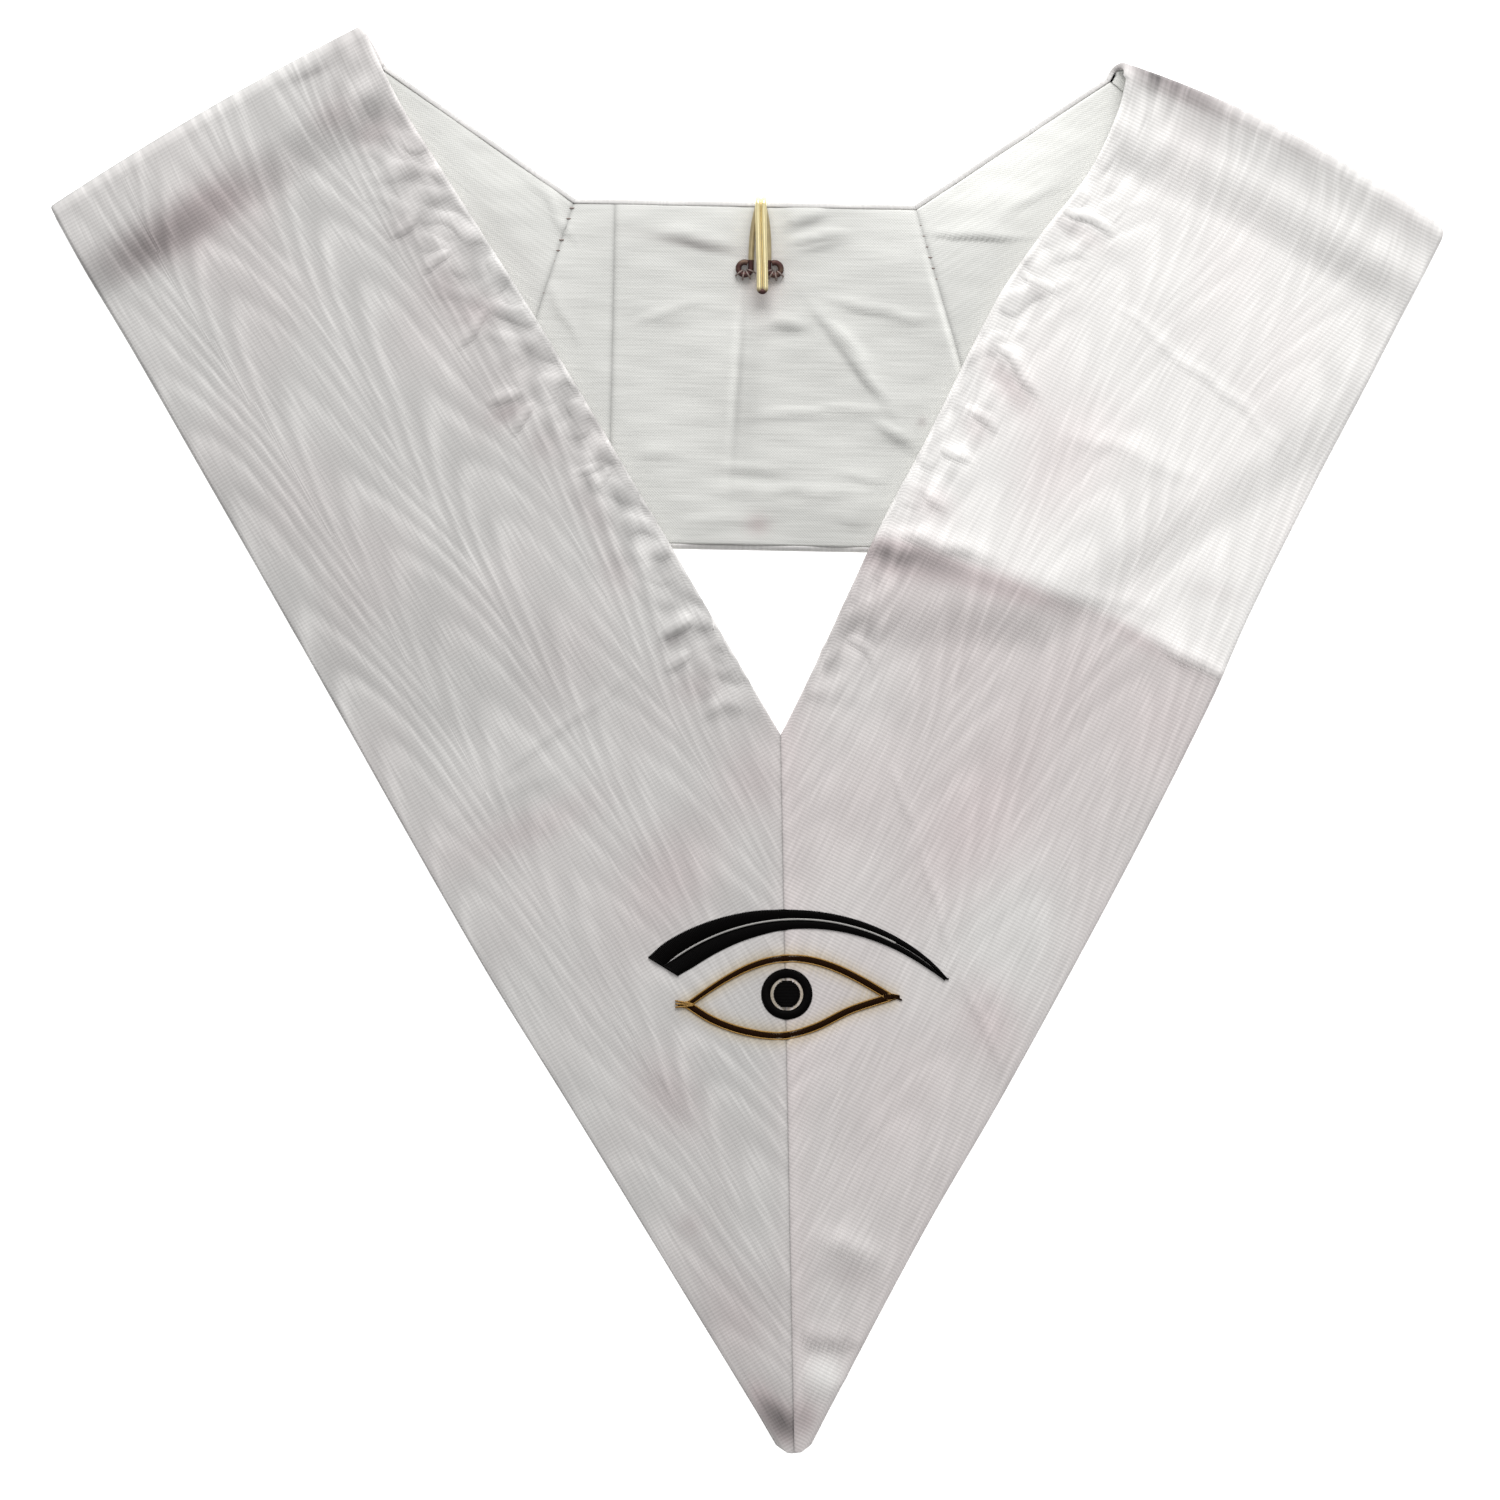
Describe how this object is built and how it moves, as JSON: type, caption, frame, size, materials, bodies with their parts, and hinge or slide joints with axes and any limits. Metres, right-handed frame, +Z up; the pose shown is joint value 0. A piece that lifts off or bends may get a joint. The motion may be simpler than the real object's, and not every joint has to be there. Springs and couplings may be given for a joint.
{
  "type": "masonic collar",
  "caption": "White moiré ribbon regalia collar, lined, laid flat with its shoulders folded back, an embroidered eye on the point and a sew-on wire hook at the neck.",
  "frame": {"origin": "middle of the base of the whole collar as it lies, on the surface it lies on", "axes": "+Y from the front point to the neck, +X to the right as the face of the collar is looked at, +Z up from the surface"},
  "size_m": [0.3992, 0.409, 0.0083],
  "materials": {
    "ribbon_moire": "white moiré silk-type ribbon, ribbed, with pressed water marks",
    "lining_cotton": "plain-woven off-white cotton lining, matt",
    "thread_black": "black embroidery thread in satin stitch",
    "thread_gold": "dark brown embroidery thread edged with gold",
    "wire_brass": "drawn brass wire, polished, toned brown in places"
  },
  "bodies": {
    "root": {"ribbon_front_left": "ribbon_moire", "ribbon_front_right": "ribbon_moire", "ribbon_shoulder_left": "ribbon_moire", "ribbon_shoulder_right": "ribbon_moire", "ribbon_neck": "ribbon_moire", "lining_front_left": "lining_cotton", "lining_front_right": "lining_cotton", "lining_shoulder_left": "lining_cotton", "lining_shoulder_right": "lining_cotton", "lining_neck_end": "lining_cotton", "lining_neck": "lining_cotton", "eye_brow": "thread_black", "eye_iris": "thread_black", "eye_pupil": "thread_black", "eye_outline": "thread_gold", "hook": "wire_brass"}
  },
  "joints": []
}
